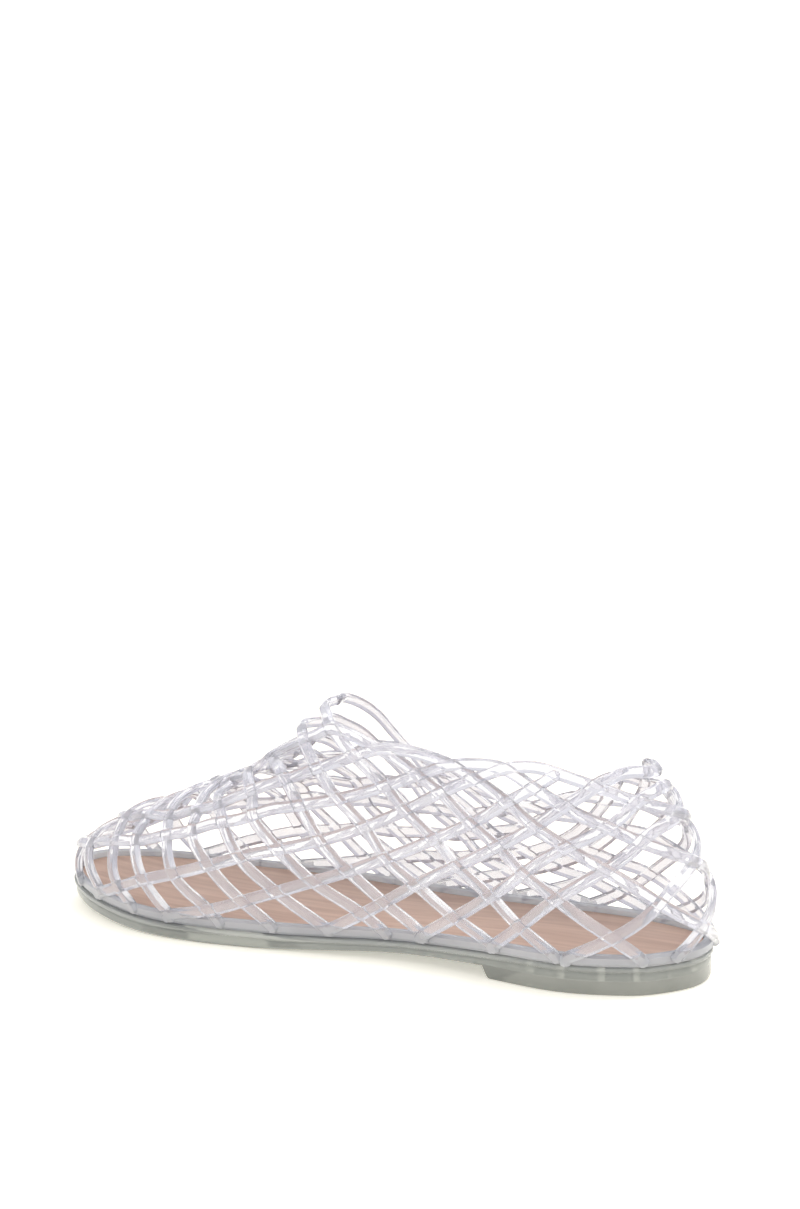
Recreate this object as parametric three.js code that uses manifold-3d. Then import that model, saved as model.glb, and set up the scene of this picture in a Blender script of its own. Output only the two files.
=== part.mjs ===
// A moulded jelly flat for the right foot: a woven lattice upper on a thin sole with a low heel.
// Millimetres. The toe points along +Y, the inner side of the foot is -X, the floor is z = 0.
import * as THREE from "three";
import { mergeVertices } from "three/addons/utils/BufferGeometryUtils.js";
import Module from "manifold-3d";

// Driving sizes of the shoe
const LENGTH = 250;
const BALL_WIDTH = 75.7;
const THROAT_HEIGHT = 81;
const SOLE_THICKNESS = 5.6;
const HEEL_RISE = 4;
const TOE_SPRING = 4.3;
const HEEL_LENGTH = 67;
const BREAST_HOLLOW = 4;
const BREAST_RAKE = 3;
const EDGE_STEP = 0.6;
const EDGE_BEVEL = 1;
const LIP_HEIGHT = 1.8;
const INSOLE_THICKNESS = 1.6;
const BAND_HEIGHT = 3.6;
const BAND_WIDTH = 2.8;
const STRAND_WIDTH = 4.2;
const STRAND_THICKNESS = 2.4;
const WEAVE_DEPTH = 0.65;
const POCKET_WALL = 2.4;
const POCKET_WIDTH = 6;
const POCKET_FLOOR = 4.8;
const CLEARANCE = 0.3;

// Facets
const OUTLINE_STEPS = 30;
const BREAST_STEPS = 96;
const LONGEST_STEP = 22;
const SHORTEST_STEP = 4.5;
const TRACE_STEPS = 160;
const STRAND_REACH = 12;
const CUT_OVERRUN = 1;
const LEAST_VOLUME = 0.01;

// Each pocket of the heel lies between two places along the outline, with a rib before the next.
const POCKETS = [
  [0.02, 0.074],
  [0.083, 0.146],
  [0.157, 0.195],
  [0.204, 0.239],
  [0.247, 0.273],
  [0.28, 0.305],
];

// Shares of LENGTH: the arch starts here, the tread lies flat from its start to its end, and the
// seat slopes between these.
const ARCH_START_SHARE = 0.236;
const TREAD_START_SHARE = 0.61;
const TREAD_END_SHARE = 0.73;
const SEAT_START_SHARE = 0.16;
const SEAT_END_SHARE = 0.6;
const ARCH_POWER = 1.4;

// The strands' feet end at this share of the band's height, and the heel is this share of
// BALL_WIDTH to each side.
const FOOT_SHARE = 0.75;
const HEEL_SIDE_SHARE = 0.38;

// The outer side's drop ends smoothly at the crest, and the throat's peak is a narrow hump with
// a hollow to each side.
const CREST_BLEND = 16;
const PEAK_SHARE = 2.5;
const PEAK_POWER = 18;
const SHOULDER_POWER = 6;

// The last's outline from the heel's back to the toe's tip, even in `around` from 0 to 1.
// along is a share of LENGTH, inner and outer are half widths as shares of BALL_WIDTH.
const OUTLINE = [
  { along: 0.0, inner: 0.0, outer: 0.0 },
  { along: 0.016, inner: 0.159, outer: 0.184 },
  { along: 0.056, inner: 0.296, outer: 0.297 },
  { along: 0.152, inner: 0.391, outer: 0.361 },
  { along: 0.28, inner: 0.358, outer: 0.379 },
  { along: 0.42, inner: 0.334, outer: 0.423 },
  { along: 0.58, inner: 0.436, outer: 0.494 },
  { along: 0.7, inner: 0.501, outer: 0.499 },
  { along: 0.8, inner: 0.49, outer: 0.453 },
  { along: 0.896, inner: 0.384, outer: 0.36 },
  { along: 0.96, inner: 0.248, outer: 0.232 },
  { along: 0.992, inner: 0.118, outer: 0.108 },
  { along: 1.0, inner: 0.0, outer: 0.0 },
];

// The upper's sections. Each rises from the outline at `around` to a crest on the centre line.
// crest is a share of LENGTH. height, drop and peak are shares of THROAT_HEIGHT: the crest's
// height, how much lower the outer side stands halfway up, and how far the very crest is raised
// over its shoulders. inset is how far the foot stands in from the edge, as a share of
// STRAND_THICKNESS; swell and lean shape the wall between.
const SECTIONS = [
  { around: 0.0, crest: 0.16, height: 1.01, drop: 0.0, peak: 0.0, inset: -0.4, swell: 0.03, lean: 1.03 },
  { around: 0.1, crest: 0.198, height: 1.05, drop: 0.01, peak: 0.0, inset: -0.4, swell: 0.0, lean: 1.35 },
  { around: 0.22, crest: 0.224, height: 1.12, drop: 0.1, peak: 0.0, inset: -0.4, swell: 0.0, lean: 1.27 },
  { around: 0.36, crest: 0.312, height: 1.21, drop: 0.29, peak: 0.0, inset: -0.25, swell: 0.04, lean: 1.08 },
  { around: 0.5, crest: 0.488, height: 1.09, drop: 0.17, peak: 0.06, inset: 0.25, swell: 0.06, lean: 1.05 },
  { around: 0.55, crest: 0.555, height: 0.92, drop: 0.1, peak: 0.062, inset: 0.25, swell: 0.06, lean: 1.05 },
  { around: 0.62, crest: 0.612, height: 0.73, drop: 0.03, peak: 0.035, inset: 0.25, swell: 0.06, lean: 1.06 },
  { around: 0.75, crest: 0.748, height: 0.55, drop: 0.0, peak: 0.0, inset: 0.25, swell: 0.06, lean: 1.06 },
  { around: 0.88, crest: 0.888, height: 0.35, drop: 0.0, peak: 0.0, inset: 0.12, swell: 0.04, lean: 1.02 },
  { around: 1.0, crest: 0.955, height: 0.27, drop: 0.0, peak: 0.0, inset: 0.0, swell: 0.03, lean: 1.0 },
];

// Strands that cross the vamp from one side of the foot to the other. Each column is the
// `around` that the strand has reached at the heights in HOOP_LEVELS.
const HOOP_LEVELS = { foot: 0, low: 0.15, middle: 0.3, high: 0.45, shoulder: 0.7, crest: 1 };
const HOOPS = [
  { foot: 0.245, low: 0.328, middle: 0.395, high: 0.442, shoulder: 0.5, crest: 0.55 },
  { foot: 0.31, low: 0.402, middle: 0.443, high: 0.478, shoulder: 0.524, crest: 0.58 },
  { foot: 0.383, low: 0.445, middle: 0.478, high: 0.507, shoulder: 0.56, crest: 0.612 },
  { foot: 0.418, low: 0.478, middle: 0.52, high: 0.54, shoulder: 0.59, crest: 0.632 },
  { foot: 0.46, low: 0.518, middle: 0.552, high: 0.578, shoulder: 0.63, crest: 0.665 },
  { foot: 0.503, low: 0.555, middle: 0.59, high: 0.612, shoulder: 0.662, crest: 0.697 },
  { foot: 0.555, low: 0.602, middle: 0.63, high: 0.655, shoulder: 0.7, crest: 0.73 },
  { foot: 0.615, low: 0.657, middle: 0.68, high: 0.7, shoulder: 0.737, crest: 0.765 },
  { foot: 0.673, low: 0.705, middle: 0.725, high: 0.742, shoulder: 0.775, crest: 0.8 },
  { foot: 0.738, low: 0.765, middle: 0.782, high: 0.797, shoulder: 0.82, crest: 0.84 },
  { foot: 0.805, low: 0.827, middle: 0.842, high: 0.857, shoulder: 0.877, crest: 0.892 },
];

// Strands that run from the toe or the side up to the collar, arc over it and go down and
// back round the heel. Each is a list of [around, up]; around is negative past the heel's
// centre, on the other side. A mirrored strand continues as its own mirror image at its start
// or end; any other is made twice, once for each side.
const COLLAR_STRANDS = [
  { mirrored: "start", route: [[0.75, 1], [0.71, 0.84], [0.62, 0.71], [0.55, 0.64], [0.503, 0.605],
    [0.478, 0.607], [0.435, 0.505], [0.333, 0.3], [0.238, 0.14], [0.145, 0]] },
  { mirrored: "start", route: [[0.87, 1], [0.835, 0.7], [0.75, 0.53], [0.69, 0.51], [0.6, 0.485],
    [0.51, 0.43], [0.435, 0.5], [0.4, 0.485], [0.33, 0.42], [0.228, 0.29], [0.098, 0.15],
    [-0.068, 0]] },
  { mirrored: "start", route: [[1, 0.5], [0.9, 0.36], [0.8, 0.32], [0.68, 0.35], [0.6, 0.37], [0.53, 0.335],
    [0.455, 0.35], [0.367, 0.445], [0.34, 0.462], [0.297, 0.47], [0.182, 0.37], [0, 0.265],
    [-0.12, 0.13], [-0.23, 0]] },
  { mirrored: "none", route: [[0.738, 0], [0.655, 0.14], [0.56, 0.195], [0.497, 0.21], [0.432, 0.27],
    [0.297, 0.475], [0.25, 0.512], [0.18, 0.49], [0, 0.43], [-0.188, 0.235], [-0.31, 0]] },
  { mirrored: "none", route: [[0.613, 0], [0.532, 0.06], [0.445, 0.15], [0.333, 0.3], [0.26, 0.45],
    [0.228, 0.51]] },
  { mirrored: "end", route: [[0.458, 0], [0.39, 0.12], [0.305, 0.25], [0.18, 0.485], [0.12, 0.54],
    [0.06, 0.587], [0, 0.605]] },
  { mirrored: "end", route: [[0.383, 0], [0.312, 0.12], [0.228, 0.29], [0.077, 0.47], [0, 0.54]] },
];

const wasm = await Module();
wasm.setup();

// A smooth curve through table rows at uneven places, as a cubic with mean slopes at the rows.
function cubic(places, values, at) {
  const last = places.length - 1;
  const place = Math.min(Math.max(at, places[0]), places[last]);
  let row = 0;
  while (row < last - 1 && place > places[row + 1]) row += 1;
  const slope = (i) => {
    const before = Math.max(i - 1, 0);
    const after = Math.min(i + 1, last);
    return (values[after] - values[before]) / (places[after] - places[before]);
  };
  const span = places[row + 1] - places[row];
  const s = (place - places[row]) / span;
  const a = 2 * s ** 3 - 3 * s ** 2 + 1;
  const b = s ** 3 - 2 * s ** 2 + s;
  const c = s ** 3 - s ** 2;
  return a * values[row] + b * span * slope(row) + (1 - a) * values[row + 1] + c * span * slope(row + 1);
}

// The tables are mirrored past both their ends, so that heel and toe come out round.
const sectionPlaces = SECTIONS.map((row) => row.around);
const mirroredPlaces = [-sectionPlaces[1], ...sectionPlaces, 2 - sectionPlaces.at(-2)];
function sectionValue(column, around) {
  const values = SECTIONS.map((row) => row[column]);
  return cubic(mirroredPlaces, [values[1], ...values, values.at(-2)], around);
}
const lastRow = OUTLINE.length - 1;
const mirroredRows = [-1, ...OUTLINE.keys(), lastRow + 1];
const outlinePlaces = mirroredRows.map((row) => row / lastRow);
const insideRow = (row) => lastRow - Math.abs(lastRow - Math.abs(row));
function outlineValue(column, around) {
  const odd = column !== "along";
  const values = mirroredRows.map((row) => {
    const value = OUTLINE[insideRow(row)][column];
    return odd && (row < 0 || row > lastRow) ? -value : value;
  });
  return cubic(outlinePlaces, values, around);
}

// A point of the outline, inset from the edge. side is -1 on the inner side of the foot.
function outlinePoint(around, side, inset) {
  const column = side < 0 ? "inner" : "outer";
  const at = (a) => new THREE.Vector2(
    side * outlineValue(column, a) * BALL_WIDTH,
    outlineValue("along", a) * LENGTH,
  );
  const small = 1e-4;
  const along = at(Math.min(around + small, 1)).sub(at(Math.max(around - small, 0)));
  const outward = new THREE.Vector2(along.y, -along.x).multiplyScalar(side).normalize();
  if (around <= 0) outward.set(0, -1);
  if (around >= 1) outward.set(0, 1);
  return at(around).addScaledVector(outward, -inset);
}

const ease = (s) => s * s * (3 - 2 * s);
const share = (value, from, to) => Math.min(Math.max((value - from) / (to - from), 0), 1);

// Heights along the foot: the sole's underside, its top, and the upper's foot line.
function springHeight(y) {
  return TOE_SPRING * share(y, TREAD_END_SHARE * LENGTH, LENGTH) ** 2;
}
function undersideHeight(y) {
  const s = share(y, ARCH_START_SHARE * LENGTH, TREAD_START_SHARE * LENGTH);
  return HEEL_RISE * (1 - s) ** ARCH_POWER * (1 + ARCH_POWER * s) + springHeight(y);
}
function soleTopHeight(y) {
  const slope = ease(share(y, SEAT_START_SHARE * LENGTH, SEAT_END_SHARE * LENGTH));
  return SOLE_THICKNESS + HEEL_RISE * (1 - slope) + springHeight(y);
}
function footLineHeight(y) {
  return soleTopHeight(y) + CLEARANCE + BAND_HEIGHT * FOOT_SHARE;
}

// A point of the upper's middle surface. up is 0 at the foot line and 1 at the crest.
function lastPoint(around, up) {
  const side = around < 0 ? 1 : -1;
  const place = Math.abs(around);
  const inset = sectionValue("inset", place) * STRAND_THICKNESS;
  const foot = outlinePoint(place, side, inset);
  const base = footLineHeight(foot.y);
  const angle = (up * Math.PI) / 2;
  const inward = 1 - Math.cos(angle) ** sectionValue("lean", place)
    - sectionValue("swell", place) * Math.sin(2 * angle);
  const crestY = sectionValue("crest", place) * LENGTH;
  const crestZ = sectionValue("height", place) * THROAT_HEIGHT;
  const rise = Math.sin(angle);
  const dropShape = Math.sin(2 * angle) * (1 - rise ** CREST_BLEND);
  const drop = side > 0 ? sectionValue("drop", place) * THROAT_HEIGHT * dropShape : 0;
  const peakShape = PEAK_SHARE * rise ** PEAK_POWER - (PEAK_SHARE - 1) * rise ** SHOULDER_POWER;
  const peak = sectionValue("peak", place) * THROAT_HEIGHT * peakShape;
  return new THREE.Vector3(
    foot.x * (1 - inward),
    foot.y + (crestY - foot.y) * inward,
    base + (crestZ - base) * rise + peak - drop,
  );
}

function lastNormal(around, up) {
  const small = 1e-3;
  const aroundStep = Math.abs(around) > 1 - small ? -small : small;
  const upStep = up > 1 - small ? -small : small;
  const here = lastPoint(around, up);
  const onward = lastPoint(around + aroundStep, up).sub(here).multiplyScalar(Math.sign(aroundStep));
  const upward = lastPoint(around, up + upStep).sub(here).multiplyScalar(Math.sign(upStep));
  const normal = onward.cross(upward).multiplyScalar(-1);
  if (Math.abs(around) > 1 - small) normal.set(0, Math.cos((up * Math.PI) / 2), Math.sin((up * Math.PI) / 2));
  return normal.normalize();
}

// The reflection of a route's point in the crest, or in the heel's centre or the toe's tip.
function pastMirror([around, up], [aroundInside, upInside]) {
  return up === 1 ? [aroundInside, 2 - upInside] : [2 * around - aroundInside, upInside];
}

// A strand's leg in the surface's own coordinates, traced finely from its route, and smooth
// where the route is mirrored.
function traceLeg(route, mirrored) {
  const rows = [...route];
  const places = [0];
  for (let i = 1; i < route.length; i += 1) {
    const from = lastPoint(...route[i - 1]);
    places.push(places[i - 1] + lastPoint(...route[i]).distanceTo(from));
  }
  const total = places.at(-1);
  if (mirrored === "start") {
    rows.unshift(pastMirror(route[0], route[1]));
    places.unshift(-places[1]);
  }
  if (mirrored === "end") {
    rows.push(pastMirror(route.at(-1), route.at(-2)));
    places.push(2 * total - places.at(-2));
  }
  const leg = [];
  for (let i = 0; i <= TRACE_STEPS; i += 1) {
    const at = (total * i) / TRACE_STEPS;
    const around = cubic(places, rows.map((row) => row[0]), at);
    const up = cubic(places, rows.map((row) => row[1]), at);
    leg.push({ around, up: Math.min(Math.max(up, 0), 1) });
  }
  return leg;
}
const mirrorLeg = (leg) => leg.map((p) => ({ around: -p.around, up: p.up }));
const reversed = (leg) => [...leg].reverse();

function makeStrands() {
  const strands = [];
  for (const hoop of HOOPS) {
    const route = Object.keys(HOOP_LEVELS).map((level) => [hoop[level], HOOP_LEVELS[level]]);
    const leg = traceLeg(route, "end");
    strands.push([leg, reversed(mirrorLeg(leg))]);
  }
  for (const { mirrored, route } of COLLAR_STRANDS) {
    const leg = traceLeg(route, mirrored);
    if (mirrored === "start") strands.push([reversed(mirrorLeg(leg)), leg]);
    if (mirrored === "end") strands.push([leg, reversed(mirrorLeg(leg))]);
    if (mirrored === "none") strands.push([leg], [mirrorLeg(leg)]);
  }
  return strands.map((legs) => {
    const points = [];
    for (const [index, leg] of legs.entries()) {
      for (const p of leg.slice(index)) points.push({ ...p, leg: index });
    }
    let length = 0;
    for (const [i, p] of points.entries()) {
      p.centre = lastPoint(p.around, p.up);
      if (i > 0) length += p.centre.distanceTo(points[i - 1].centre);
      p.length = length;
    }
    return points;
  });
}

// Where two traces cross on the surface, as the lengths reached along each.
function crossingLengths(first, second) {
  const itself = first === second;
  const found = [];
  for (let i = 1; i < first.length; i += 1) {
    const a = first[i - 1];
    const b = first[i];
    if (a.leg !== b.leg) continue;
    for (let j = 1; j < second.length; j += 1) {
      const c = second[j - 1];
      const d = second[j];
      if (c.leg !== d.leg || c.centre.distanceTo(a.centre) > STRAND_REACH) continue;
      if (itself && c.leg <= a.leg) continue;
      const abx = b.around - a.around;
      const aby = b.up - a.up;
      const cdx = d.around - c.around;
      const cdy = d.up - c.up;
      const det = abx * cdy - aby * cdx;
      if (det === 0) continue;
      const s = ((c.around - a.around) * cdy - (c.up - a.up) * cdx) / det;
      const r = ((c.around - a.around) * aby - (c.up - a.up) * abx) / det;
      if (s < 0 || s >= 1 || r < 0 || r >= 1) continue;
      found.push([a.length + s * (b.length - a.length), c.length + r * (d.length - c.length)]);
    }
  }
  return found;
}

// Marks every crossing as over on one strand and under on the other, turn about on each.
function weave(strands) {
  const marks = strands.map(() => []);
  for (let i = 0; i < strands.length; i += 1) {
    for (let j = i; j < strands.length; j += 1) {
      for (const [along, across] of crossingLengths(strands[i], strands[j])) {
        const first = { length: along, level: 0 };
        const second = { length: across, level: 0, partner: first };
        first.partner = second;
        marks[i].push(first);
        marks[j].push(second);
      }
    }
  }
  for (const list of marks) {
    list.sort((a, b) => a.length - b.length);
    for (const [k, mark] of list.entries()) mark.beside = [list[k - 1], list[k + 1]].filter(Boolean);
  }
  for (const list of marks) {
    for (const start of list) {
      if (start.level !== 0) continue;
      start.level = 1;
      const open = [start];
      while (open.length > 0) {
        const mark = open.shift();
        for (const other of [mark.partner, ...mark.beside]) {
          if (other.level !== 0) continue;
          other.level = -mark.level;
          open.push(other);
        }
      }
    }
  }
  return marks;
}

function traceAt(points, length) {
  let i = 1;
  while (i < points.length - 1 && points[i].length < length) i += 1;
  const a = points[i - 1];
  const b = points[i];
  const s = share(length, a.length, b.length);
  if (a.leg !== b.leg) return { around: b.around, up: b.up };
  return { around: a.around + (b.around - a.around) * s, up: a.up + (b.up - a.up) * s };
}

// A strand's stations: one at each crossing, raised or sunk, and others where those are far apart.
function stations(points, marks) {
  const total = points[points.length - 1].length;
  const fixed = [{ length: 0, level: 0 }];
  for (const mark of marks) {
    const previous = fixed[fixed.length - 1];
    if (mark.length - previous.length < SHORTEST_STEP || total - mark.length < SHORTEST_STEP) continue;
    fixed.push({ length: mark.length, level: mark.level });
  }
  fixed.push({ length: total, level: 0 });
  const all = [fixed[0]];
  for (let i = 1; i < fixed.length; i += 1) {
    const from = fixed[i - 1];
    const to = fixed[i];
    const count = Math.ceil((to.length - from.length) / LONGEST_STEP);
    for (let k = 1; k < count; k += 1) {
      all.push({ length: from.length + ((to.length - from.length) * k) / count, level: 0 });
    }
    all.push(to);
  }
  return all.map(({ length, level }) => {
    const { around, up } = traceAt(points, length);
    const normal = lastNormal(around, up);
    const centre = lastPoint(around, up).addScaledVector(normal, level * WEAVE_DEPTH);
    return { centre, normal, half: length < total / 2 ? 0 : 1 };
  });
}

function meshSolid(positions, indices) {
  const geometry = new THREE.BufferGeometry();
  geometry.setAttribute("position", new THREE.Float32BufferAttribute(positions, 3));
  geometry.setIndex(indices);
  return geometrySolid(geometry);
}
function geometrySolid(source) {
  const bare = source.clone();
  bare.deleteAttribute("normal");
  bare.deleteAttribute("uv");
  const geometry = mergeVertices(bare);
  return new wasm.Manifold(new wasm.Mesh({
    numProp: 3,
    vertProperties: new Float32Array(geometry.attributes.position.array),
    triVerts: new Uint32Array(geometry.index.array),
  }));
}

// A closed solid from rings of points with their fronts outside. A loop of rings closes on
// itself; otherwise the first and last ring are filled by strips between their two sides.
function loft(rings, isLoop) {
  const count = rings[0].length;
  const positions = rings.flat().flatMap((p) => [p.x, p.y, p.z]);
  const indices = [];
  const steps = isLoop ? rings.length : rings.length - 1;
  for (let i = 0; i < steps; i += 1) {
    const next = (i + 1) % rings.length;
    for (let k = 0; k < count; k += 1) {
      const right = (k + 1) % count;
      const a = i * count + k;
      const b = i * count + right;
      const c = next * count + right;
      const d = next * count + k;
      indices.push(a, b, c, a, c, d);
    }
  }
  if (!isLoop) {
    const end = (rings.length - 1) * count;
    for (let k = 1; k <= count / 2; k += 1) {
      const a = k - 1;
      const b = k;
      const c = (count - k) % count;
      const d = (count - k + 1) % count;
      if (b !== c) indices.push(a, c, b, end + a, end + b, end + c);
      if (a !== d) indices.push(a, d, c, end + a, end + c, end + d);
    }
  }
  let volume = 0;
  const corner = (i) => new THREE.Vector3().fromArray(positions, indices[i] * 3);
  for (let i = 0; i < indices.length; i += 3) volume += corner(i).dot(corner(i + 1).cross(corner(i + 2)));
  if (volume < 0) indices.reverse();
  return meshSolid(positions, indices);
}

// A strand's bar, in two halves that share a ring, because its ends may cross each other.
function strandSolids(route) {
  const rings = route.map(({ centre, normal }, i) => {
    const ahead = route[Math.min(i + 1, route.length - 1)].centre;
    const behind = route[Math.max(i - 1, 0)].centre;
    const along = ahead.clone().sub(behind).normalize();
    const across = along.clone().cross(normal).normalize();
    const out = across.clone().cross(along);
    return [[-1, -1], [1, -1], [1, 1], [-1, 1]].map(([w, t]) => centre.clone()
      .addScaledVector(across, (w * STRAND_WIDTH) / 2)
      .addScaledVector(out, (t * STRAND_THICKNESS) / 2));
  });
  const middle = route.findIndex((station) => station.half === 1);
  return [loft(rings.slice(0, middle + 1), false), loft(rings.slice(middle), false)];
}

// Places round the whole outline: up the inner side from the heel, and back down the outer.
function closedOutline(from, to, steps) {
  const places = [];
  for (let i = 0; i <= steps; i += 1) places.push(from + ((to - from) * i) / steps);
  const inner = places.map((around) => ({ around, side: -1 }));
  const outer = places.map((around) => ({ around, side: 1 })).reverse();
  return [...inner.slice(0, -1), ...outer.slice(0, -1)];
}

function bandSolid() {
  const rings = closedOutline(0, 1, OUTLINE_STEPS).map(({ around, side }) => {
    const outerInset = Math.min(sectionValue("inset", around) * STRAND_THICKNESS, 0);
    const outer = outlinePoint(around, side, outerInset);
    const inner = outlinePoint(around, side, BAND_WIDTH);
    const low = soleTopHeight(outer.y) + CLEARANCE;
    const innerLow = soleTopHeight(inner.y) + CLEARANCE;
    return [
      new THREE.Vector3(outer.x, outer.y, low),
      new THREE.Vector3(outer.x, outer.y, low + BAND_HEIGHT),
      new THREE.Vector3(inner.x, inner.y, innerLow + BAND_HEIGHT),
      new THREE.Vector3(inner.x, inner.y, innerLow),
    ];
  });
  return loft(rings, true);
}

function upperSolid() {
  const strands = makeStrands();
  const marks = weave(strands);
  const bars = strands.flatMap((points, i) => strandSolids(stations(points, marks[i])));
  const whole = bars.reduce((sum, bar) => sum.add(bar), bandSolid());
  // Where two halves share a ring, the union may leave flat slivers that hold no volume.
  const bodies = whole.decompose().filter((body) => Math.abs(body.volume()) > LEAST_VOLUME);
  return wasm.Manifold.compose(bodies);
}

// A slab stacked from closed outlines, each inset from the edge and following a height.
function slab(levels) {
  const outline = closedOutline(0, 1, OUTLINE_STEPS);
  const rings = levels.map(({ inset, height }) => outline.map(({ around, side }) => {
    const p = outlinePoint(around, side, inset);
    return new THREE.Vector3(p.x, p.y, height(p.y));
  }));
  return loft(rings, false);
}

// The heel's front face is hollowed and leans back towards the floor: this tapered round cutter
// takes away all that lies ahead of it.
function breastCutter(height) {
  const halfWidth = HEEL_SIDE_SHARE * BALL_WIDTH;
  const radius = (halfWidth ** 2 + BREAST_HOLLOW ** 2) / (2 * BREAST_HOLLOW);
  const depth = height + 2 * CUT_OVERRUN;
  const cylinder = new THREE.CylinderGeometry(radius, radius + BREAST_RAKE, depth, BREAST_STEPS);
  cylinder.rotateX(Math.PI / 2);
  cylinder.translate(0, HEEL_LENGTH - BREAST_HOLLOW + radius, height / 2);
  return geometrySolid(cylinder);
}

// A pocket cored into the heel from above, between two ribs and behind the outer wall.
function pocketSolid(from, to, side) {
  const rings = [from, (from + to) / 2, to].map((around) => {
    const outer = outlinePoint(around, side, EDGE_STEP + POCKET_WALL);
    const inner = outlinePoint(around, side, EDGE_STEP + POCKET_WALL + POCKET_WIDTH);
    const top = soleTopHeight(outer.y) + CUT_OVERRUN;
    return [
      new THREE.Vector3(outer.x, outer.y, POCKET_FLOOR),
      new THREE.Vector3(outer.x, outer.y, top),
      new THREE.Vector3(inner.x, inner.y, top),
      new THREE.Vector3(inner.x, inner.y, POCKET_FLOOR),
    ];
  });
  return loft(rings, false);
}

function soleSolid() {
  const lip = (y) => soleTopHeight(y) - LIP_HEIGHT;
  const body = slab([
    { inset: EDGE_STEP + EDGE_BEVEL, height: undersideHeight },
    { inset: EDGE_STEP, height: (y) => undersideHeight(y) + EDGE_BEVEL },
    { inset: EDGE_STEP, height: lip },
    { inset: 0, height: lip },
    { inset: 0, height: soleTopHeight },
  ]);
  const heelTop = HEEL_RISE + 2 * EDGE_BEVEL;
  const heel = slab([
    { inset: EDGE_STEP + EDGE_BEVEL, height: () => 0 },
    { inset: EDGE_STEP, height: () => EDGE_BEVEL },
    { inset: EDGE_STEP, height: () => heelTop },
  ]).subtract(breastCutter(heelTop));
  let sole = body.add(heel);
  for (const side of [-1, 1]) {
    for (const [from, to] of POCKETS) {
      sole = sole.subtract(pocketSolid(from, to, side));
    }
  }
  return sole;
}

function insoleSolid() {
  const inset = BAND_WIDTH + CLEARANCE;
  return slab([
    { inset, height: (y) => soleTopHeight(y) + CLEARANCE },
    { inset, height: (y) => soleTopHeight(y) + CLEARANCE + INSOLE_THICKNESS },
  ]);
}

function asMesh(name, solid, material) {
  const { vertProperties, triVerts } = solid.getMesh();
  const geometry = new THREE.BufferGeometry();
  geometry.setAttribute("position", new THREE.BufferAttribute(new Float32Array(vertProperties), 3));
  geometry.setIndex(new THREE.BufferAttribute(new Uint32Array(triVerts), 1));
  const mesh = new THREE.Mesh(mergeVertices(geometry), material);
  mesh.name = name;
  return mesh;
}

const clearPlastic = new THREE.MeshStandardMaterial({ color: 0xdfe0ea, roughness: 0.15, metalness: 0 });
const solePlastic = new THREE.MeshStandardMaterial({ color: 0xa6aca4, roughness: 0.2, metalness: 0 });
const tanSheet = new THREE.MeshStandardMaterial({ color: 0xb98f78, roughness: 0.6, metalness: 0 });

const shoe = new THREE.Group();
shoe.add(asMesh("upper", upperSolid(), clearPlastic));
shoe.add(asMesh("sole", soleSolid(), solePlastic));
shoe.add(asMesh("insole", insoleSolid(), tanSheet));

// The origin is on the floor, under the middle of the whole shoe.
const middle = new THREE.Box3().setFromObject(shoe).getCenter(new THREE.Vector3());
shoe.position.set(-middle.x, -middle.y, 0);
shoe.updateMatrixWorld(true);

export default shoe;
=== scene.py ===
import math

import bmesh
import bpy
import numpy as np
from mathutils import Matrix, Vector


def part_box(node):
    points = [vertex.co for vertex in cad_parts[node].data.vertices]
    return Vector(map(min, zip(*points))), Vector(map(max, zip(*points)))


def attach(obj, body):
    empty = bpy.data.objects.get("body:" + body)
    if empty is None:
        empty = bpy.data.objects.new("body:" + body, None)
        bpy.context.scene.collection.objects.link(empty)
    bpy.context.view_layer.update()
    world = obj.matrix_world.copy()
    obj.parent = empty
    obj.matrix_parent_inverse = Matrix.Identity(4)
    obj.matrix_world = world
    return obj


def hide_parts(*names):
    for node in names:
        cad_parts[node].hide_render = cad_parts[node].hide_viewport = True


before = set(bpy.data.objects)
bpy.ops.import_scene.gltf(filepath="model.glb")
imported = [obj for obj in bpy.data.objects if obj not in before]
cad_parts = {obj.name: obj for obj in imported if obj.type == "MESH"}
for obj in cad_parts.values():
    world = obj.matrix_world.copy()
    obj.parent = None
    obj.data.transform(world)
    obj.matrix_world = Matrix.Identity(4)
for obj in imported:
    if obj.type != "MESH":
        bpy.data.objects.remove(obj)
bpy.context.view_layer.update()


# The sole: one moulding in translucent grey soft plastic, with a thin forefoot that springs up
# at the toe, an arched waist, a stepped edge and a low heel. The heel is cored from above, and
# the pockets and the ribs between them show through its wall.
MM = 0.001
BALL_WIDTH = 75.7
SOLE_THICKNESS = 5.6
HEEL_RISE = 4.0
TOE_SPRING = 4.3
HEEL_LENGTH = 68.5
BREAST_HOLLOW = 4.0
BREAST_RAKE = 3.0
BREAST_CORNER = 2.0
EDGE_STEP = 0.6
LIP_HEIGHT = 1.8
CLEARANCE = 0.3
POCKET_WALL = 1.6
POCKET_WIDTH = 6.0
POCKET_FLOOR = 4.8
ARCH_START = 0.236
TREAD_START = 0.61
TREAD_END = 0.73
SEAT_START = 0.16
SEAT_END = 0.6
ARCH_POWER = 1.4
SOLE_STEPS = 150
CAD_STEPS = 30
HEEL_SIDE_STEPS = 60
BREAST_STEPS = 30
CORNER_STEPS = 9
SEARCH_STEPS = 4001

SOLE_LOW, SOLE_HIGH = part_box("sole")
LENGTH = (SOLE_HIGH[1] - SOLE_LOW[1]) / MM

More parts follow.
